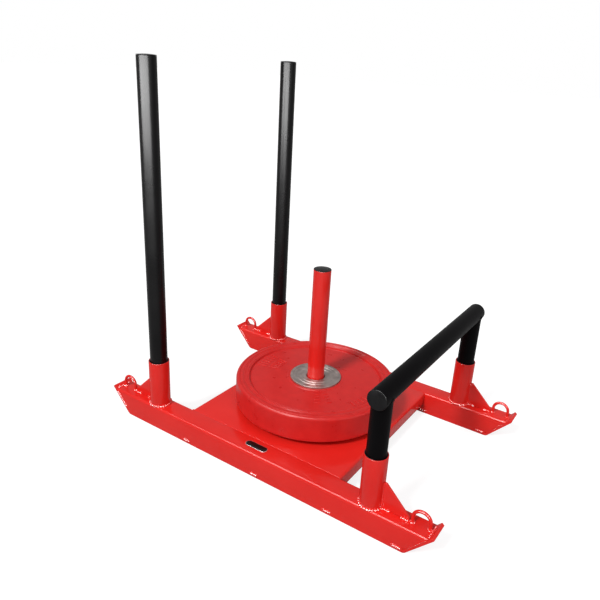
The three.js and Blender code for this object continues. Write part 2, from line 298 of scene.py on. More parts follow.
def runner_tube(node):
    """A square tube's outer and inner sections, each drawn from one slanted end to the other."""
    low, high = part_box(node)
    side = high.z - low.z
    sections = [
        rectangle(side, side, TUBE_CORNER),
        rectangle(side - 2 * TUBE_WALL, side - 2 * TUBE_WALL, TUBE_CORNER - TUBE_WALL),
    ]
    rows = []
    for section, along in ((sections[0], (-1, 1)), (sections[1], (1, -1))):
        y = section[:, 0] + (low.y + high.y) / 2
        z = section[:, 1] + (low.z + high.z) / 2
        end = nose_x(high.x, high.z, z)
        rows += [np.stack([way * end, y, z], -1) for way in along]
    return closed(np.array(rows))


def frame_piece(name, surface, node):
    """Adds a red coated piece of the welded frame."""
    return make_piece(name, [surface], red_paint, "sled_frame", [node])


for side in SIDES:
    node = f"runner_tube_{side}"
    frame_piece(f"{side}_runner_tube", runner_tube(node), node)

# Skid plates: flat steel strips under the tubes, bent up at both ends and sheared off square.
# Their edges are rubbed round, and the tubes are stitch welded to them.
SKID_EDGE = 0.9 * MM
BEND_STEPS = 12
END_RINGS = 5
LEAST_RADIUS = 0.01 * MM


def swept(sections, centres, across, up):
    """Carries sections along a path: each point of a section lies its first number across and
    its second number up from the path's point."""
    sections, centres = np.asarray(sections), np.asarray(centres)[:, None]
    across, up = np.asarray(across)[:, None], np.asarray(up)[:, None]
    return centres + sections[..., :1] * across + sections[..., 1:] * up


def strip_path(half_path, y):
    """Mirrors the front half of a path in x and z, and gives its points, directions and normals.
    Each entry of the half is x, z and the angle of the path above the horizontal."""
    half = np.asarray(half_path, float)
    x, z, angle = np.concatenate([half[::-1] * (-1, 1, -1), half]).T
    none = np.zeros_like(x)
    centres = np.stack([x, none + y, z], -1)
    along = np.stack([np.cos(angle), none, np.sin(angle)], -1)
    up = np.stack([-np.sin(angle), none, np.cos(angle)], -1)
    return centres, along, up


def bent_strip(half_path, y, width, thickness, edge):
    """A flat bar along a bent path, with its long edges and both of its ends rubbed round: the
    section shrinks over the last bit of each end as a quarter circle does."""
    centres, along, up = strip_path(half_path, y)
    turn = np.linspace(0, math.pi / 2, END_RINGS)
    inset = edge * (1 - np.sin(turn))
    back = edge * (1 - np.cos(turn))[:, None]
    first = centres[0] + along[0] * back
    last = centres[-1] - along[-1] * back[::-1]
    path = np.concatenate([first, centres[1:-1], last])
    first_up, last_up = (np.tile(up[end], (END_RINGS, 1)) for end in (0, -1))
    ups = np.concatenate([first_up, up[1:-1], last_up])
    insets = np.concatenate([inset, np.zeros(len(centres) - 2), inset[::-1]])
    sections = [
        rectangle(width - 2 * i, thickness - 2 * i, max(edge - i, LEAST_RADIUS), steps=4)
        for i in insets
    ]
    across = np.tile([0.0, 1.0, 0.0], (len(path), 1))
    return closed(swept(sections, path, across, ups), caps=True)


def skid_half():
    """The front half of a skid's middle line: the flat, the bend, and the nose up to its lip."""
    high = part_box("skid_plate_right")[1]
    radius = SKID_BEND_INSIDE + SKID_THICKNESS / 2
    outside = SKID_BEND_INSIDE + SKID_THICKNESS
    lip_z = high.z - SKID_THICKNESS / 2 * math.cos(NOSE_ANGLE)
    lip_x = high.x - SKID_THICKNESS / 2 * math.sin(NOSE_ANGLE)
    angles = np.linspace(0, NOSE_ANGLE, BEND_STEPS + 1)
    end_z = outside - radius * math.cos(NOSE_ANGLE)
    end_x = lip_x - (lip_z - end_z) / math.tan(NOSE_ANGLE)
    centre_x = end_x - radius * math.sin(NOSE_ANGLE)
    bend = [(centre_x + radius * math.sin(a), outside - radius * math.cos(a), a) for a in angles]
    return [*bend, (lip_x, lip_z, NOSE_ANGLE)]


for side in SIDES:
    node = f"skid_plate_{side}"
    low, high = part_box(node)
    strip = bent_strip(skid_half(), (low.y + high.y) / 2, high.y - low.y, SKID_THICKNESS, SKID_EDGE)
    frame_piece(f"{side}_skid_plate", strip, node)

# Deck: one steel sheet between the runners, flush with their tops. Its front and rear edges are
# folded down and end above the floor. The load post goes through a hole in its middle.
DECK_THICKNESS = 5 * MM
DECK_BEND_INSIDE = 2 * MM
DECK_EDGE = 0.7 * MM
DRILL_REACH = 30 * MM


def turned(profile, x=0.0, y=0.0, steps=96):
    """Turns a closed profile of radius and height about an upright axis. A profile that starts
    and ends on the axis closes there."""
    profile = np.asarray(profile, float)
    angle = np.linspace(0, 2 * math.pi, steps, endpoint=False)[:, None]
    radius, height = profile[None, :, 0], profile[None, :, 1]
    across, along = radius * np.cos(angle), radius * np.sin(angle)
    return closed(np.stack([x + across, y + along, height + 0 * angle], -1))


def ring_profile(inner, outer, low, high, edge, steps=5):
    """A tube's wall, seen in section, with rounded edges."""
    return rounded([(outer, low), (outer, high), (inner, high), (inner, low)], edge, steps)


def disc_profile(outer, low, high, edge, steps=5):
    """Half of a solid disc, seen in section, with rounded outer edges."""
    return rounded([(outer, low), (outer, high), (0, high), (0, low)], [edge, edge, 0, 0], steps)


def deck_half():
    """The front half of the deck's middle line: the flat, the fold, and the flange down."""
    low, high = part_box("deck_plate")
    radius = DECK_BEND_INSIDE + DECK_THICKNESS / 2
    centre_x = high.x - DECK_THICKNESS / 2 - radius
    centre_z = high.z - DECK_THICKNESS / 2 - radius
    angles = np.linspace(0, math.pi / 2, BEND_STEPS + 1)
    fold = [(centre_x + radius * math.sin(a), centre_z + radius * math.cos(a), -a) for a in angles]
    return [*fold, (centre_x + radius, low.z, -math.pi / 2)]


low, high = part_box("deck_plate")
sheet = bent_strip(deck_half(), 0, high.y - low.y, DECK_THICKNESS, DECK_EDGE)
deck = frame_piece("folded_deck", sheet, "deck_plate")
post_low, post_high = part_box("load_post")
post_radius = (post_high.x - post_low.x) / 2
post_hole = post_radius + GAP
drill_ends = high.z - DRILL_REACH, high.z + DRILL_REACH
drill_points, drill_faces = turned(disc_profile(post_hole, *drill_ends, LEAST_RADIUS, steps=1))
drill_mesh = bpy.data.meshes.new("deck_drill")
drill_mesh.from_pydata(drill_points, [], drill_faces)
clean(drill_mesh)
drill = bpy.data.objects.new("deck_drill", drill_mesh)
bpy.context.collection.objects.link(drill)
cut = deck.modifiers.new("post_hole", "BOOLEAN")
cut.operation = "DIFFERENCE"
cut.object = drill
cut.solver = "EXACT"
with bpy.context.temp_override(object=deck, active_object=deck, selected_objects=[deck]):
    bpy.ops.object.modifier_apply(modifier=cut.name)
bpy.data.objects.remove(drill)
deck.data.set_sharp_from_angle(angle=math.radians(CREASE))

# Cross tubes: two lengths of square steel tube under the deck, welded between the runners. The
# foot plate lies between them under the deck, and closes the lower end of the load post.
ENDS = {"front": 1, "rear": -1}
CROSS_WALL = 2.5 * MM
CROSS_CORNER = 4 * MM
FOOT_CORNER = 10 * MM
FOOT_EDGE = 0.8 * MM


def straight_tube(node, wall, corner):
    """A square tube along Y: the outer section from end to end, and the inner one back."""
    low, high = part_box(node)
    side = high.z - low.z
    rows = []
    for inset, ends in ((0, (low.y, high.y)), (wall, (high.y, low.y))):
        section = rectangle(side - 2 * inset, side - 2 * inset, corner - inset)
        x = section[:, 0] + (low.x + high.x) / 2
        z = section[:, 1] + (low.z + high.z) / 2
        rows += [np.stack([x, np.full_like(x, y), z], -1) for y in ends]
    return closed(np.array(rows))


def edge_steps(low, high, edge, steps=4):
    """How far in and how high each ring of a slab's side lies, with both edges rounded."""
    turn = np.linspace(0, math.pi / 2, steps + 1)
    inset = edge * (1 - np.sin(turn))
    rise = edge * (1 - np.cos(turn))
    return [*zip(inset, low + rise), *zip(inset[::-1], high - rise[::-1])]


def slab(node, radius, edge):
    """A flat rounded rectangle that fills a node's box, with rounded edges."""
    low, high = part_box(node)
    centre_x, centre_y = (low.x + high.x) / 2, (low.y + high.y) / 2
    rows = []
    for inset, z in edge_steps(low.z, high.z, edge):
        outline = rectangle(high.x - low.x - 2 * inset, high.y - low.y - 2 * inset, radius - inset)
        rows.append(np.column_stack([outline + (centre_x, centre_y), np.full(len(outline), z)]))
    return closed(np.array(rows), caps=True)


for end in ENDS:
    node = f"cross_tube_{end}"
    frame_piece(f"{end}_cross_tube", straight_tube(node, CROSS_WALL, CROSS_CORNER), node)
frame_piece("post_foot", slab("post_foot_plate", FOOT_CORNER, FOOT_EDGE), "post_foot_plate")

# Load post: a round steel tube through a flange that is welded to the deck. The bumper plate
# lies on the flange. A domed plastic plug is driven into the post's top.
FLANGE_EDGE = 1.2 * MM
POST_WALL = 3 * MM
TUBE_EDGE = 0.8 * MM
PLUG_WALL = 2 * MM
PLUG_RISE = 1.6 * MM
PLUG_HEAD = 3 * MM
PLUG_LIP = 0.4 * MM
DOME_POINTS = 13
FIN_DEPTH = 0.6 * MM
FIN_SLOPE = 1 * MM
FIN_BACK = 0.3 * MM
FIN_MARGINS = (2 * MM, 3 * MM)
FIN_COUNT = 3
RUB_SCALE = 40


def build_plastic_group():
    """Moulded plastic: a fine even grain, with some patches rubbed a little glossier."""
    group, given, put = new_group(
        "moulded_grain", {"Grain Scale": 900, "Gloss Low": 0.4, "Gloss High": 0.6},
        ["Height", "Roughness", "Tone"],
    )
    nodes, links = group.nodes, group.links
    grain = object_noise(nodes, links, 2)
    links.new(given.outputs["Grain Scale"], grain.inputs["Scale"])
    links.new(grain.outputs["Fac"], put.inputs["Height"])
    rub = object_noise(nodes, links, 2)
    rub.inputs["Scale"].default_value = RUB_SCALE
    finish_from(nodes, links, given, put, rub.outputs["Fac"])
    return group


plastic_group = build_plastic_group()
black_plastic = coated(
    "black_plug_plastic", plastic_group,
    {"Gloss Low": 0.24, "Gloss High": 0.32},
    ((0.0015, 0.0013, 0.0017), (0.003, 0.0026, 0.0032)),
    0.03 * MM,
    {"IOR": 1.3},
)


def plug_profile(node, wall):
    """A plug's section: a domed head as wide as the tube, and a hollow shank with three fins. The
    dome's height falls with the square of the distance from its middle."""
    low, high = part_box(node)
    rim = max(high.x - low.x, high.y - low.y) / 2
    head = high.z - PLUG_HEAD
    fin_tip = rim - wall - GAP
    shank = fin_tip - FIN_DEPTH
    bore = shank - PLUG_WALL
    share = np.linspace(1, 0, DOME_POINTS)
    dome = np.stack([(rim - TUBE_EDGE) * share, high.z - PLUG_RISE * share**2], -1)
    shoulder = high.z - PLUG_RISE
    corners = rounded([(rim, head), (rim, shoulder), (0, shoulder)], [0, TUBE_EDGE, 0])
    rim_edge = np.split(corners, 3)[1]
    fins = []
    for z in np.linspace(low.z + FIN_MARGINS[0], head - FIN_MARGINS[1], FIN_COUNT):
        fins += [(shank, z - FIN_SLOPE), (fin_tip, z), (shank, z + FIN_BACK)]
    shell = [(0, head - PLUG_WALL), (bore, head - PLUG_WALL), (bore, low.z)]
    shell += [(shank, low.z), *fins, (shank, head), (rim - PLUG_LIP, head)]
    return np.concatenate([shell, rim_edge, dome[1:]])


low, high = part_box("post_base_flange")
flange = ring_profile(post_hole, (high.x - low.x) / 2, low.z, high.z, FLANGE_EDGE)
frame_piece("post_flange", turned(flange), "post_base_flange")
post = ring_profile(post_radius - POST_WALL, post_radius, post_low.z, post_high.z, TUBE_EDGE)
frame_piece("post_tube", turned(post), "load_post")
cap = turned(plug_profile("post_cap", POST_WALL))
make_piece("post_plug", [cap], black_plastic, "sled_frame", ["post_cap"])

# Sockets: short round steel tubes welded upright on the runners, each lined with a thin black
# plastic sleeve that shows as a dark ring round the pole. The sleeve is a dark thing put in the
# gap round the pole, so its black is in part painted shade of that gap. A flat gusset braces each
# one towards its nose.
LINER_WALL = 1.9 * MM
LINER_EDGE = 0.5 * MM
SOCKET_WALL = 2 * MM
GUSSET_TOE = 8 * MM
GUSSET_TOP = 5 * MM
GUSSET_CORNER = 1.2 * MM
GUSSET_EDGE = 0.9 * MM


def upright_tube(node, wall, edge):
    """A round tube that fills a node's box, with rounded rims."""
    low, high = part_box(node)
    outer = (high.x - low.x) / 2
    profile = ring_profile(outer - wall, outer, low.z, high.z, edge)
    return turned(profile, (low.x + high.x) / 2, (low.y + high.y) / 2)


def gusset(node, way):
    """A flat triangle with blunt points in the plane of the runner, drawn as rings that shrink
    over both of its rounded faces' edges."""
    low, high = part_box(node)
    root, toe = (low.x, high.x) if way > 0 else (high.x, low.x)
    out = np.sign(toe - root)
    corners = np.array([
        (root, low.z), (toe, low.z), (toe, low.z + GUSSET_TOE),
        (root + out * GUSSET_TOP, high.z), (root, high.z),
    ])
    centre = corners.mean(0)
    half_reach = np.abs(corners - centre).max() / 2
    outline = rounded(corners, GUSSET_CORNER, steps=4)
    rows = []
    for inset, y in edge_steps(low.y, high.y, GUSSET_EDGE):
        shrunk = centre + (outline - centre) * (1 - inset / half_reach)
        rows.append(np.stack([shrunk[:, 0], 0 * shrunk[:, 0] + y, shrunk[:, 1]], -1))
    return closed(np.array(rows), caps=True)


for end, way in ENDS.items():
    for side in SIDES:
        place = f"{end}_{side}"
        node = f"socket_{place}"
        frame_piece(f"{place}_socket", upright_tube(node, SOCKET_WALL, TUBE_EDGE), node)
        # The black sleeve fills the gap round the pole, and its black is partly painted shade of
        # that gap.
        node = f"liner_{place}"
        sleeve = upright_tube(node, LINER_WALL, LINER_EDGE)
        make_piece(f"{place}_liner", [sleeve], black_plastic, "sled_frame", [node])
        node = f"gusset_{place}"
        frame_piece(f"{place}_gusset", gusset(node, way), node)

# Tow loops: round steel rod bent into a staple and welded on top of each nose, for a strap or a
# hook. They are coated red with the frame.
LOOP_STEPS = 48
ROD_SIDES = 20


def staple(node):
    """A round rod along an upright leg, half a circle and the other leg."""
    low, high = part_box(node)
    rod = (high.y - low.y) / 2
    radius = (high.x - low.x) / 2 - rod
    middle = (low.x + high.x) / 2
    centre_z = high.z - rod - radius
    angle = np.linspace(math.pi, 0, LOOP_STEPS)
    x = np.concatenate([[-radius], radius * np.cos(angle), [radius]]) + middle
    z = np.concatenate([[low.z], centre_z + radius * np.sin(angle), [low.z]])
    facing = np.concatenate([[math.pi], angle, [0]])
    none = np.zeros_like(x)
    centres = np.stack([x, none + (low.y + high.y) / 2, z], -1)
    up = np.stack([np.cos(facing), none, np.sin(facing)], -1)
    across = np.tile([0.0, 1.0, 0.0], (len(x), 1))
    turn = np.linspace(0, 2 * math.pi, ROD_SIDES, endpoint=False)
    section = rod * np.stack([np.cos(turn), np.sin(turn)], -1)
    return closed(swept(np.tile(section, (len(x), 1, 1)), centres, across, up), caps=True)


for end in ENDS:
    for side in SIDES:
        node = f"tow_loop_{end}_{side}"
        frame_piece(f"{end}_{side}_tow_loop", staple(node), node)

# Welds: beads of weld metal close the frame's joints, and are coated red with it. Each bead is a
# row of overlapping ripples. The seams along the deck and the skid plates are ground flush, and
# the tubes are also stitched to their skid plates, 25 mm at a time.
BEAD_SIDES = 10
RIPPLE = 6.5 * MM
RIPPLE_STEPS = 7
RIPPLE_SWELL = 0.5
BEAD_END_SHARE = 0.1
SLANTED = (0.55, 0.25, 0.8)


def bead(path, radius, ring=False):
    """A round section carried along a path. Its radius swells once per ripple, as the absolute
    value of a cosine of the distance along the path, and an open bead narrows at both ends. The
    section's sides are set out from a slanted direction that no bead follows."""
    path = np.asarray(path, float)
    before, after = np.roll(path, 1, 0), np.roll(path, -1, 0)
    if not ring:
        before[0], after[-1] = path[0], path[-1]
    along = after - before
    along /= np.linalg.norm(along, axis=1, keepdims=True)
    aside = np.cross(along, SLANTED)
    aside /= np.linalg.norm(aside, axis=1, keepdims=True)
    up = np.cross(aside, along)
    steps = np.linalg.norm(np.roll(path, -1, 0) - path, axis=1)
    distance = np.cumsum(steps) - steps
    whole = steps.sum() if ring else distance[-1]
    ripple = whole / max(round(whole / RIPPLE), 1)
    wave = np.abs(np.cos(math.pi * distance / ripple))
    size = radius * (1 + RIPPLE_SWELL * (wave - 0.5))
    if not ring:
        to_end = np.minimum(distance, whole - distance)
        size *= np.sqrt(np.clip(to_end / radius, BEAD_END_SHARE, 1))
    turn = np.linspace(0, 2 * math.pi, BEAD_SIDES, endpoint=False)
    section = np.stack([np.cos(turn), np.sin(turn)], -1)
    return closed(swept(size[:, None, None] * section, path, aside, up), caps=not ring)


def line(start, end, radius):
    """A bead along a straight line."""
    start, end = np.asarray(start), np.asarray(end)
    count = int(np.linalg.norm(end - start) / RIPPLE * RIPPLE_STEPS) + 3
    return bead(np.linspace(start, end, count), radius)


def circle(x, y, z, ring_radius, radius):
    """A bead round an upright tube's or rod's foot."""
    count = int(2 * math.pi * ring_radius / RIPPLE * RIPPLE_STEPS)
    angle = np.linspace(0, 2 * math.pi, count, endpoint=False)
    across, along = ring_radius * np.cos(angle), ring_radius * np.sin(angle)
    return bead(np.stack([x + across, y + along, 0 * angle + z], -1), radius, ring=True)


def flush_fill(end_x, y_limits, z_limits):
    """A strip of filler along a tube that is ground flush: a flat rectangle, given by the limits
    of its width and of its height, carried from end to end."""
    near, far = y_limits
    bottom, top = z_limits
    section = [(near, bottom), (far, bottom), (far, top), (near, top)]
    rows = [[(x, y, z) for y, z in section] for x in (-end_x, end_x)]
    return closed(np.array(rows), caps=True)


weld_paint = coated(
    "red_coat_on_welds", coat_group,
    {"Gloss Low": 0.12, "Gloss High": 0.18, "Ripple Scale": 500},
    ((0.66, 0.014, 0.010), (0.72, 0.018, 0.013)),
    0.02 * MM,
    {"IOR": 1.5, "Coat Weight": 1.0, "Coat Roughness": 0.06},
)
WELD_CREASE = 60


def weld(name, beads, material=weld_paint):
    """Adds beads of the welded frame as one piece."""
    make_piece(name, beads, material, "sled_frame", crease=WELD_CREASE)


SOCKET_BEAD = 3.1 * MM
PLATE_BEAD = 2.5 * MM
DECK_SEAM_DEPTHS = (4 * MM, 0.6 * MM)
DECK_SEAM_INWARD = 1.5 * MM
DECK_SEAM_OUTWARD = 4.5 * MM
NOSE_BEADS = {"front": 1.2 * MM, "rear": 2.4 * MM}
NOSE_BEAD_START = 4 * MM
NOSE_BEAD_TOP = 5 * MM
NOSE_BEAD_FOOT = 9 * MM
SKID_SEAM_RISES = (-1.5 * MM, 5.2 * MM)
SKID_SEAM_DEPTHS = (0.02 * MM, 3 * MM)
STITCH_BEAD = 3.6 * MM
STITCH_INWARD = 0.7 * MM
STITCH_RISE = 0.2 * MM
STITCH_HALF = 12.5 * MM
STITCH_PLACES = (-0.211, 0.021, 0.239, 0.419)

deck_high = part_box("deck_plate")[1]
deck_top = deck_high.z
for side, way in SIDES.items():
    low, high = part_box(f"runner_tube_{side}")
    middle, half_width = (low.y + high.y) / 2, (high.y - low.y) / 2
    inner, outer = middle - way * half_width, middle + way * half_width
    widths = inner - way * DECK_SEAM_INWARD, inner + way * DECK_SEAM_OUTWARD
    seams = [flush_fill(deck_high.x, widths, [deck_top - depth for depth in DECK_SEAM_DEPTHS])]
    noses = []
    slant = (high.z - low.z - 2 * TUBE_CORNER) / math.tan(NOSE_ANGLE)
    for end, end_way in ENDS.items():
        top = (end_way * high.x, middle, high.z)
        span = (0, half_width - TUBE_CORNER, 0)
        noses.append(line(np.subtract(top, span), np.add(top, span), SOCKET_BEAD))
        for face in (inner, outer):
            start = (end_way * (high.x - NOSE_BEAD_START), face, high.z - NOSE_BEAD_TOP)
            stop = (end_way * (high.x - slant), face, low.z + NOSE_BEAD_FOOT)
            noses.append(line(start, stop, NOSE_BEADS[end]))
    stitches = []
    flat_half = high.x - (high.z - low.z) / math.tan(NOSE_ANGLE)
    for face, inward in ((inner, way), (outer, -way)):
        widths = [face + inward * depth for depth in SKID_SEAM_DEPTHS]
        seams.append(flush_fill(flat_half, widths, [low.z + rise for rise in SKID_SEAM_RISES]))
        y, z = face + inward * STITCH_INWARD, low.z + STITCH_RISE
        for x in STITCH_PLACES:
            stitches.append(line((x - STITCH_HALF, y, z), (x + STITCH_HALF, y, z), STITCH_BEAD))
    weld(f"{side}_filled_seams", seams, red_paint)
    weld(f"{side}_nose_welds", noses)
    weld(f"{side}_stitch_welds", stitches)

RING_OUTWARD = 0.4 * MM
SOCKET_BEAD_RISE = 0.8 * MM
LOOP_BEAD_RISE = 0.9 * MM
GUSSET_BEAD_RISE = 0.5 * MM
GUSSET_OUTWARD = 0.5 * MM
GUSSET_STITCH = 21 * MM
GUSSET_UPRIGHT_BEAD = 1.4 * MM
GUSSET_UPRIGHT_END = 3 * MM

for end, way in ENDS.items():
    for side in SIDES:
        place = f"{end}_{side}"
        low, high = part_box(f"socket_{place}")
        x, y = (low.x + high.x) / 2, (low.y + high.y) / 2
        ring_radius = (high.x - low.x) / 2 + RING_OUTWARD
        beads = [circle(x, y, deck_top + SOCKET_BEAD_RISE, ring_radius, SOCKET_BEAD)]
        low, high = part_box(f"gusset_{place}")
        root, toe = (low.x, high.x) if way > 0 else (high.x, low.x)
        foot_z = deck_top + GUSSET_BEAD_RISE
        for y in (low.y - GUSSET_OUTWARD, high.y + GUSSET_OUTWARD):
            for x, length in ((root, way * GUSSET_STITCH), (toe, -way * GUSSET_STITCH)):
                beads.append(line((x, y, foot_z), (x + length, y, foot_z), PLATE_BEAD))
            top_z = high.z - GUSSET_UPRIGHT_END
            beads.append(line((root, y, low.z), (root, y, top_z), GUSSET_UPRIGHT_BEAD))
        low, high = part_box(f"tow_loop_{place}")
        rod = (high.y - low.y) / 2
        y, z = (low.y + high.y) / 2, deck_top + LOOP_BEAD_RISE
        for x in (low.x + rod, high.x - rod):
            beads.append(circle(x, y, z, rod + RING_OUTWARD, PLATE_BEAD))
        weld(f"{place}_welds", beads)

FLANGE_BEAD_RISE = 1.2 * MM
FOOT_BEAD_HALF = 30 * MM
FOOT_BEAD_DROP = 1 * MM

low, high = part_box("post_base_flange")
under_deck = [circle(0, 0, deck_top + FLANGE_BEAD_RISE, high.x + RING_OUTWARD, SOCKET_BEAD)]
low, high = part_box("post_foot_plate")
z = high.z - FOOT_BEAD_DROP
for x, y in ((low.x, 0), (high.x, 0), (0, low.y), (0, high.y)):
    half = (0, FOOT_BEAD_HALF, 0) if x else (FOOT_BEAD_HALF, 0, 0)
    under_deck.append(line(np.subtract((x, y, z), half), np.add((x, y, z), half), SOCKET_BEAD))
for end in ENDS:
    low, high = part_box(f"cross_tube_{end}")
    for y in (low.y, high.y):
        for x in (low.x, high.x):
            under_deck.append(line((x, y, low.z + CROSS_CORNER), (x, y, high.z), PLATE_BEAD))
        corner_x = low.x + CROSS_CORNER, high.x - CROSS_CORNER
        under_deck.append(line((corner_x[0], y, low.z), (corner_x[1], y, low.z), PLATE_BEAD))
weld("under_deck_welds", under_deck)

# Push poles: two tall round steel tubes, coated satin black, that stand loose in the rear
# sockets. Each has a domed plastic plug in its top.
POLE_WALL = 2.5 * MM

black_paint = coated(
    "black_powder_coat", coat_group,
    {"Ripple Scale": 420, "Gloss Low": 0.25, "Gloss High": 0.3},
    ((0.0012, 0.0010, 0.0013), (0.002, 0.0017, 0.0021)),
    0.02 * MM,
    {"IOR": 1.3},
)
for side in SIDES:
    node = f"push_pole_{side}"
    body = f"{side}_push_pole"
    pole = upright_tube(node, POLE_WALL, TUBE_EDGE)
    make_piece(f"{side}_pole", [pole], black_paint, body, [node])
    node = f"pole_cap_{side}"
    low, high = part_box(node)
    plug = turned(plug_profile(node, POLE_WALL), (low.x + high.x) / 2, (low.y + high.y) / 2)
    make_piece(f"{side}_pole_plug", [plug], black_plastic, body, [node])

# Low bar: a steel cross tube welded to two legs that stand in the front sockets. Each leg's top
# is cut to the round of the cross tube, and both open ends have a plastic plug. The black coat
# is more matt than that of the poles.
matt_paint = coated(
    "black_matt_coat", coat_group,
    {"Ripple Scale": 420, "Gloss Low": 0.38, "Gloss High": 0.46},
    ((0.0015, 0.0013, 0.0016), (0.0025, 0.0022, 0.0026)),
    0.02 * MM,
    {"IOR": 1.14},
)
LEG_STEPS = 96
SADDLE_BEAD = 1.6 * MM
SADDLE_STEPS = 230
SADDLE_BLUNTNESS = 1.0004


def lay_along_y(surface, centre_x, centre_z):
    """Lays an upright turned surface down, so that its height runs along Y."""
    points, faces = surface
    laid = np.stack([points[:, 0] + centre_x, points[:, 2], points[:, 1] + centre_z], -1)
    return laid, faces


def coped_leg(node, bar_radius, bar_z):
    """A round tube whose upper end follows the cross tube: its height is that of the cross
    tube's axis less the drop of a circle at each point's distance from that axis."""
    low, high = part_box(node)
    centre_x, centre_y = (low.x + high.x) / 2, (low.y + high.y) / 2
    outer = (high.x - low.x) / 2
    angle = np.linspace(0, 2 * math.pi, LEG_STEPS, endpoint=False)
    rows = []
    for radius in (outer, outer - POLE_WALL):
        x, y = radius * np.cos(angle), radius * np.sin(angle)
        top = bar_z - np.sqrt((bar_radius + GAP) ** 2 - x**2)
        ends = [np.stack([centre_x + x, centre_y + y, z], -1) for z in (0 * x + low.z, top)]
        rows += ends if radius == outer else ends[::-1]
    return closed(np.array(rows))


bar_low, bar_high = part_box("low_bar_tube")
bar_radius = (bar_high.x - bar_low.x) / 2
bar_x, bar_z = (bar_low.x + bar_high.x) / 2, (bar_low.z + bar_high.z) / 2
wall = ring_profile(bar_radius - POLE_WALL, bar_radius, bar_low.y, bar_high.y, TUBE_EDGE)
bar = lay_along_y(turned(wall), bar_x, bar_z)
make_piece("low_cross_bar", [bar], matt_paint, "low_bar", ["low_bar_tube"])
for side, way in SIDES.items():
    node = f"low_bar_leg_{side}"
    leg = coped_leg(node, bar_radius, bar_z)
    make_piece(f"{side}_bar_leg", [leg], matt_paint, "low_bar", [node])
    low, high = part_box(node)
    angle = np.linspace(0, 2 * math.pi, SADDLE_STEPS, endpoint=False)
    saddle = np.stack([
        bar_x + bar_radius * np.cos(angle),
        (low.y + high.y) / 2 + bar_radius * np.sin(angle),
        bar_z - bar_radius * np.sqrt(SADDLE_BLUNTNESS - np.cos(angle) ** 2),
    ], -1)
    joint = bead(saddle, SADDLE_BEAD, ring=True)
    make_piece(
        f"{side}_saddle_weld", [joint], matt_paint, "low_bar", crease=WELD_CREASE,
    )
    node = f"low_bar_cap_{side}"
    low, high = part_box(node)
    end_y = high.y if way > 0 else low.y
    profile = plug_profile("pole_cap_right", POLE_WALL)
    profile[:, 1] = end_y - way * (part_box("pole_cap_right")[1].z - profile[:, 1])
    plug = lay_along_y(turned(profile), bar_x, bar_z)
    make_piece(f"{side}_bar_plug", [plug], black_plastic, "low_bar", [node])

# Bumper plate: a moulded red rubber ring with a full-depth rim, a band inside it, a recessed web
# and plain raised bars, on a turned steel hub. A groove or ridge is given by how far in from the
# edge it lies, half its width and its depth.
RIM_WIDTH = 19 * MM
RIM_EDGE = 8 * MM
RIM_GROOVE = (10.5 * MM, 1.4 * MM, 1.2 * MM)
BAND_WIDTH = 17 * MM
BAND_STEP = 1.5 * MM
BAND_GROOVE = (25 * MM, 1.3 * MM, 0.9 * MM)
BAND_RIDGE = (31 * MM, 1.4 * MM, -1.1 * MM)
WEB_SLOPE = 2.2 * MM
WEB_RECESS = 5.5 * MM
WEB_GROOVE = 1.8 * MM
WEB_GROOVE_FLAT = 2 * MM
COLLAR_WIDTH = 8 * MM
COLLAR_SLOPE = 1 * MM
COLLAR_RISE = 0.8 * MM
HUB_FLANGE = 13 * MM
HUB_WAIST = 52 * MM
PLATE_STEPS = 256

red_rubber = coated(
    "red_bumper_rubber", plastic_group,
    {"Grain Scale": 380, "Gloss Low": 0.27, "Gloss High": 0.34},
    ((0.53, 0.014, 0.013), (0.59, 0.018, 0.016)),
    0.03 * MM,
    {"IOR": 1.3},
)

ring_low, ring_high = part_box("bumper_ring")
plate_radius = (ring_high.x - ring_low.x) / 2
hub_low, hub_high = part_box("plate_hub")
hub_radius = (hub_high.x - hub_low.x) / 2
depth = ring_high.z - ring_low.z


def both_faces(upper, radii, steps):
    """Rounds a profile that is the same above and below the plate's middle."""
    upper, radii = np.asarray(upper, float), np.asarray(radii, float)
    lower = upper[::-1] * (1, -1)
    profile = rounded(np.concatenate([upper, lower]), np.concatenate([radii, radii[::-1]]), steps)
    return profile + (0, (ring_low.z + ring_high.z) / 2)


rim_inner = plate_radius - RIM_WIDTH
band_inner = rim_inner - BAND_WIDTH
half_depth = depth / 2
band_top = half_depth - BAND_STEP
web_top = half_depth - WEB_RECESS
groove_edge = band_inner - WEB_SLOPE
collar_edge = hub_radius + COLLAR_WIDTH
seat_depth = half_depth - HUB_FLANGE - GAP


def trench(radius, top, half_width, deep):
    """Four corners of a narrow ring groove, or of a ring ridge where the depth is negative."""
    return [
        (radius + half_width, top), (radius + half_width / 2, top - deep),
        (radius - half_width / 2, top - deep), (radius - half_width, top),
    ]


ring_upper = [
    (plate_radius, half_depth),
    *trench(plate_radius - RIM_GROOVE[0], half_depth, *RIM_GROOVE[1:]),
    (rim_inner, half_depth),
    (rim_inner - BAND_STEP, band_top),
    *trench(plate_radius - BAND_GROOVE[0], band_top, *BAND_GROOVE[1:]),
    *trench(plate_radius - BAND_RIDGE[0], band_top, *BAND_RIDGE[1:]),
    (band_inner, band_top),
    (groove_edge, web_top - WEB_GROOVE),
    (groove_edge - WEB_GROOVE_FLAT, web_top - WEB_GROOVE),
    (groove_edge - 2 * WEB_GROOVE_FLAT, web_top),
    (collar_edge + COLLAR_SLOPE, web_top),
    (collar_edge, web_top + COLLAR_RISE),
    (hub_radius + GAP, web_top + COLLAR_RISE),
    (hub_radius + GAP, seat_depth),
    (HUB_WAIST + GAP, seat_depth),
]
ring_radii = np.repeat(
    [RIM_EDGE, 0.3 * MM, 0.8 * MM, 0.6 * MM, 0.3 * MM, 0.6 * MM, 1.4 * MM, 0.3 * MM],
    [1, 4, 1, 1, 8, 1, 1, 7],
)
ring = turned(both_faces(ring_upper, ring_radii, 10), steps=PLATE_STEPS)
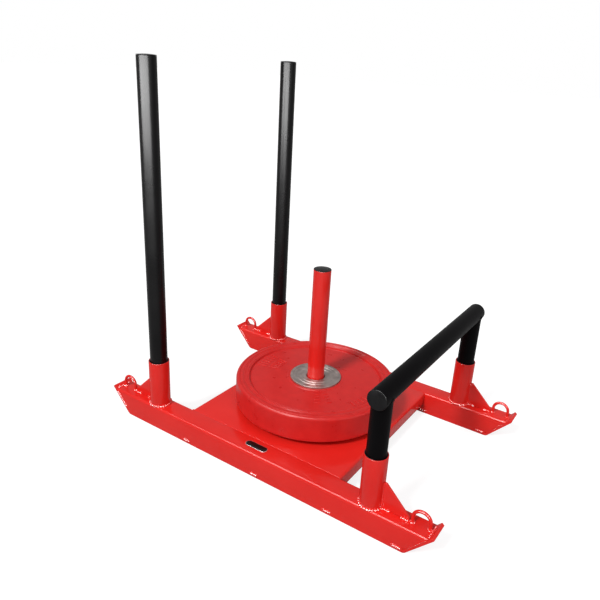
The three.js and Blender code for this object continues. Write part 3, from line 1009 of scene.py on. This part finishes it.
make_piece("rubber_ring", [ring], red_rubber, "weight_plate", ["bumper_ring"])


MARK_WIDTH = 2.8 * MM
MARK_SHARPNESS = 0.98
MARK_RINGS_MM = ((0, -0.5), (0, 1.0), (0.15, 1.35), (0.45, 1.55), (0.9, 1.6))


def raised_bar(radius, angle, length, turn):
    """A low bar with rounded ends and edges on the web, at a polar place and turned in its plane.
    Its rings shrink towards the top by the insets and heights of the table."""
    middle = np.array([radius * math.cos(angle), radius * math.sin(angle)])
    along = np.array([math.cos(turn), math.sin(turn)])
    aside = np.array([-along[1], along[0]])
    base = ring_high.z - WEB_RECESS
    rows = []
    for inset, height in np.array(MARK_RINGS_MM) * MM:
        corner = (MARK_WIDTH / 2 - inset) * MARK_SHARPNESS
        outline = rectangle(length - 2 * inset, MARK_WIDTH - 2 * inset, corner, steps=3)
        flat = middle + outline[:, :1] * along + outline[:, 1:] * aside
        rows.append(np.column_stack([flat, np.full(len(flat), base + height)]))
    return closed(np.array(rows), caps=True)


LONG_BARS = {"length": 30 * MM, "count": 6, "from": 172, "step": 4.6, "radii": (128 * MM, 166 * MM)}
SHORT_BARS = {"length": 22 * MM, "count": 4, "from": -6, "step": -5, "radii": (168 * MM,)}
LADDER_BAR = 16 * MM
LADDER_COUNT = 5
LADDER_FIRST = 84 * MM
LADDER_STEP = 14 * MM
LADDER_ANGLES = (-42, -55)

bars = []
for group in (LONG_BARS, SHORT_BARS):
    for row in range(group["count"]):
        angle = math.radians(group["from"] + group["step"] * row)
        for radius in group["radii"]:
            bars.append(raised_bar(radius, angle, group["length"], angle))
for row in range(LADDER_COUNT):
    for degrees in LADDER_ANGLES:
        angle = math.radians(degrees)
        radius = LADDER_FIRST + LADDER_STEP * row
        bars.append(raised_bar(radius, angle, LADDER_BAR, angle + math.pi / 2))
make_piece("plate_marks", bars, red_rubber, "weight_plate")


HUB_LIP_WIDTH = 8 * MM
HUB_LIP = 1.6 * MM
HUB_LIP_SLOPE = 0.8 * MM
TURNED_LINE = (1.1 * MM, 0.5 * MM)
TURNED_GROOVE_SHARE = 0.74
TURNED_RIDGE_SHARE = 0.58
BORE_GAP = 1.4 * MM
BORE_CHAMFER = 2 * MM
DULL_PATCH_SCALE = 60


def build_turning_group():
    """Turned steel: fine rings about the hub's axis, from a noise that reads only the distance
    from that axis, and a dull patchiness over them."""
    group, given, put = new_group(
        "turned_rings", {"Ring Scale": 700, "Gloss Low": 0.3, "Gloss High": 0.45},
        ["Height", "Roughness", "Tone"],
    )
    nodes, links = group.nodes, group.links
    place = nodes.new("ShaderNodeTexCoord")
    split = nodes.new("ShaderNodeSeparateXYZ")
    flat = nodes.new("ShaderNodeCombineXYZ")
    length = nodes.new("ShaderNodeVectorMath")
    length.operation = "LENGTH"
    rings = nodes.new("ShaderNodeTexNoise")
    rings.noise_dimensions = "1D"
    rings.inputs["Detail"].default_value = 3
    links.new(place.outputs["Object"], split.inputs["Vector"])
    links.new(split.outputs["X"], flat.inputs["X"])
    links.new(split.outputs["Y"], flat.inputs["Y"])
    links.new(flat.outputs["Vector"], length.inputs[0])
    links.new(length.outputs["Value"], rings.inputs["W"])
    links.new(given.outputs["Ring Scale"], rings.inputs["Scale"])
    links.new(rings.outputs["Fac"], put.inputs["Height"])
    patch = object_noise(nodes, links, 5)
    patch.inputs["Scale"].default_value = DULL_PATCH_SCALE
    finish_from(nodes, links, given, put, patch.outputs["Fac"])
    return group


turning_group = build_turning_group()
hub_steel = coated(
    "turned_hub_steel", turning_group, {},
    ((0.34, 0.285, 0.265), (0.49, 0.42, 0.395)),
    0.08 * MM,
    {"Metallic": 0.9},
)
bore = post_radius + BORE_GAP
face_top = half_depth - HUB_LIP
face_edge = hub_radius - HUB_LIP_WIDTH
line_width, line_depth = TURNED_LINE
hub_upper = [
    (HUB_WAIST, half_depth - HUB_FLANGE),
    (hub_radius, half_depth - HUB_FLANGE),
    (hub_radius, half_depth),
    (face_edge, half_depth),
    (face_edge - HUB_LIP_SLOPE, face_top),
    *trench(hub_radius * TURNED_GROOVE_SHARE, face_top, line_width, line_depth),
    *trench(hub_radius * TURNED_RIDGE_SHARE, face_top, line_width, -line_depth),
    (bore + BORE_CHAMFER, face_top),
    (bore, face_top - BORE_CHAMFER),
]
hub_radii = np.repeat([0.3 * MM, 0.7 * MM, 0.4 * MM, 0.2 * MM, 0.4 * MM], [2, 1, 2, 8, 2])
hub = turned(both_faces(hub_upper, hub_radii, 5), steps=PLATE_STEPS)
make_piece("steel_hub", [hub], hub_steel, "weight_plate", ["plate_hub"])

# Badge: a blank oval plate with a bright rim, glued to the right runner's top. Its black face is
# a thin inlay that stands a little proud of the rim.
BADGE_RIM = 1.5 * MM
BADGE_EDGE = 0.5 * MM
INLAY_RINGS_MM = ((0, -0.4), (0, 0.1), (0.4, 0.3))

badge_steel = coated(
    "badge_rim", plastic_group, {"Gloss Low": 0.18, "Gloss High": 0.28},
    ((0.55, 0.55, 0.56), (0.62, 0.62, 0.63)), 0.01 * MM, {"Metallic": 0.9},
)
badge_face = coated(
    "badge_face", plastic_group, {"Gloss Low": 0.2, "Gloss High": 0.3},
    ((0.002, 0.002, 0.002), (0.004, 0.004, 0.004)), 0.01 * MM, {"IOR": 1.3},
)
low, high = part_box("badge_plate")
length, width = high.x - low.x, high.y - low.y
rim = slab("badge_plate", width / 2 - LEAST_RADIUS, BADGE_EDGE)
make_piece("badge_rim", [rim], badge_steel, "sled_frame", ["badge_plate"])
inlay = []
for inset, rise in np.array(INLAY_RINGS_MM) * MM + (BADGE_RIM, 0):
    corner = width / 2 - inset - LEAST_RADIUS
    outline = rectangle(length - 2 * inset, width - 2 * inset, corner, steps=12)
    flat = outline + ((low.x + high.x) / 2, (low.y + high.y) / 2)
    inlay.append(np.column_stack([flat, np.full(len(flat), high.z + rise)]))
inlay = closed(np.array(inlay), caps=True)
make_piece("badge_inlay", [inlay], badge_face, "sled_frame")

# Studio: a plain white floor that keeps the sled's shadow, and white all round. The key light
# comes from high up on the right runner's side, and a broad fill from the front end. Two windows
# show in gloss alone. The camera stands where the photo's did.
FLOOR_HALF = 30
FLOOR_TONE = 0.3
FLOOR_SEEN = 0.8
FLOOR_MIRRORED = 0.1
WORLD_AMBIENT = 0.42
WORLD_MIRRORED = 0.4

floor_mesh = bpy.data.meshes.new("floor")
floor_corners = np.array([(-1, -1, 0), (1, -1, 0), (1, 1, 0), (-1, 1, 0)]) * FLOOR_HALF
floor_mesh.from_pydata(floor_corners, [], [(0, 1, 2, 3)])
floor = bpy.data.objects.new("floor", floor_mesh)
bpy.context.collection.objects.link(floor)
floor_material = bpy.data.materials.new("floor_white")
floor_material.use_nodes = True
floor_shader = floor_material.node_tree.nodes["Principled BSDF"]
floor_shader.inputs["Base Color"].default_value = (FLOOR_TONE, FLOOR_TONE, FLOOR_TONE, 1)
floor_shader.inputs["Roughness"].default_value = 0.9
floor_shader.inputs["Specular IOR Level"].default_value = 0.1


def seen_or_mirrored(nodes, links, seen, mirrored):
    """A strength for what the camera sees directly and one for what it sees in a reflection or
    through glass."""
    path = nodes.new("ShaderNodeLightPath")
    shown = nodes.new("ShaderNodeMath")
    shown.operation = "MAXIMUM"
    links.new(path.outputs["Is Glossy Ray"], shown.inputs[0])
    links.new(path.outputs["Is Transmission Ray"], shown.inputs[1])
    reflected = nodes.new("ShaderNodeMath")
    reflected.operation = "MULTIPLY"
    reflected.inputs[1].default_value = mirrored
    links.new(shown.outputs["Value"], reflected.inputs[0])
    total = nodes.new("ShaderNodeMath")
    total.operation = "MULTIPLY_ADD"
    total.inputs[1].default_value = seen
    links.new(path.outputs["Is Camera Ray"], total.inputs[0])
    links.new(reflected.outputs["Value"], total.inputs[2])
    return total.outputs["Value"]


floor_nodes, floor_links = floor_material.node_tree.nodes, floor_material.node_tree.links
floor_shader.inputs["Emission Color"].default_value = (1, 1, 1, 1)
floor_lift = seen_or_mirrored(floor_nodes, floor_links, FLOOR_SEEN, FLOOR_MIRRORED)
floor_links.new(floor_lift, floor_shader.inputs["Emission Strength"])
floor_mesh.materials.append(floor_material)
floor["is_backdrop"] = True


def softbox(name, centre, toward, width, height, radiance):
    """A rectangular lamp that faces a point and shows only in gloss. Its power is its area times
    its brightness times pi."""
    lamp = bpy.data.lights.new(name, "AREA")
    lamp.shape = "RECTANGLE"
    lamp.size, lamp.size_y = width, height
    lamp.energy = math.pi * radiance * width * height
    holder = bpy.data.objects.new(name, lamp)
    bpy.context.collection.objects.link(holder)
    holder.location = centre
    holder.rotation_mode = "QUATERNION"
    holder.rotation_quaternion = (Vector(toward) - Vector(centre)).to_track_quat("-Z", "Y")
    holder.visible_camera = False
    holder.visible_diffuse = False
    return holder


def sun(name, strength, spread, place):
    """Light from far away that is spread over an angle, from the direction of a place."""
    lamp = bpy.data.lights.new(name, "SUN")
    lamp.energy = strength
    lamp.angle = math.radians(spread)
    holder = bpy.data.objects.new(name, lamp)
    bpy.context.collection.objects.link(holder)
    holder.rotation_mode = "QUATERNION"
    holder.rotation_quaternion = Vector(place).to_track_quat("Z", "Y")


sun("key", strength=2.4, spread=11, place=(-0.10, -0.70, 0.70))
sun("fill", strength=0.95, spread=70, place=(0.80, -0.22, 0.55))
softbox(
    "top_window", centre=(-0.5, -0.9, 2.5), toward=(0.1, 0, 0),
    width=3.0, height=1.2, radiance=11,
)
front_window = softbox(
    "front_window", centre=(0.4, -3.0, 1.14), toward=(-0.34, 0, 0.94),
    width=6.6, height=1.0, radiance=30,
)

# The low front window gives the upright tubes and the welds their highlights. The level faces
# leave it out, because they would mirror it as glare when seen from behind.
UPRIGHT_ENDINGS = (
    "_pole", "_pole_plug", "_bar_plug", "_socket", "_tow_loop", "_welds", "post_tube",
)
upright = bpy.data.collections.new("shown_in_front_window")
for piece in bpy.context.collection.objects:
    if piece.name.endswith(UPRIGHT_ENDINGS):
        upright.objects.link(piece)
front_window.light_linking.receiver_collection = upright

world = bpy.data.worlds.new("studio")
bpy.context.scene.world = world
world.use_nodes = True
nodes, links = world.node_tree.nodes, world.node_tree.links
backdrop = nodes["Background"]
backdrop.inputs["Color"].default_value = (1, 1, 1, 1)
shown = seen_or_mirrored(nodes, links, 1 - WORLD_AMBIENT, WORLD_MIRRORED - WORLD_AMBIENT)
strength = nodes.new("ShaderNodeMath")
strength.operation = "ADD"
strength.inputs[1].default_value = WORLD_AMBIENT
links.new(shown, strength.inputs[0])
links.new(strength.outputs["Value"], backdrop.inputs["Strength"])

CAMERA_PLACE = Vector((0.7814, -1.2807, 0.9873))
CAMERA_RIGHT = Vector((0.82906, 0.55652, 0.05425)).normalized()
CAMERA_AHEAD = Vector((-0.50256, 0.78417, -0.36401)).normalized()
FRAME_PIXELS = 600
FOCAL_PIXELS = 595.75
AXIS_PIXEL = (308.77, 293.21)
camera_data = bpy.data.cameras.new("camera")
camera = bpy.data.objects.new("camera", camera_data)
bpy.context.collection.objects.link(camera)
camera_up = CAMERA_RIGHT.cross(CAMERA_AHEAD)
camera.matrix_world = Matrix.Translation(CAMERA_PLACE) @ Matrix((
    CAMERA_RIGHT, camera_up, -CAMERA_AHEAD,
)).transposed().to_4x4()
camera_data.sensor_width = 36
camera_data.lens = FOCAL_PIXELS / FRAME_PIXELS * camera_data.sensor_width
camera_data.shift_x = 0.5 - AXIS_PIXEL[0] / FRAME_PIXELS
camera_data.shift_y = AXIS_PIXEL[1] / FRAME_PIXELS - 0.5
bpy.context.scene.camera = camera
bpy.context.scene.view_settings.view_transform = "Standard"

visual_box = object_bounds()
boxes = {"cad": cad_box, "visual": visual_box}
boxes = {name: [list(corner) for corner in box] for name, box in boxes.items()}
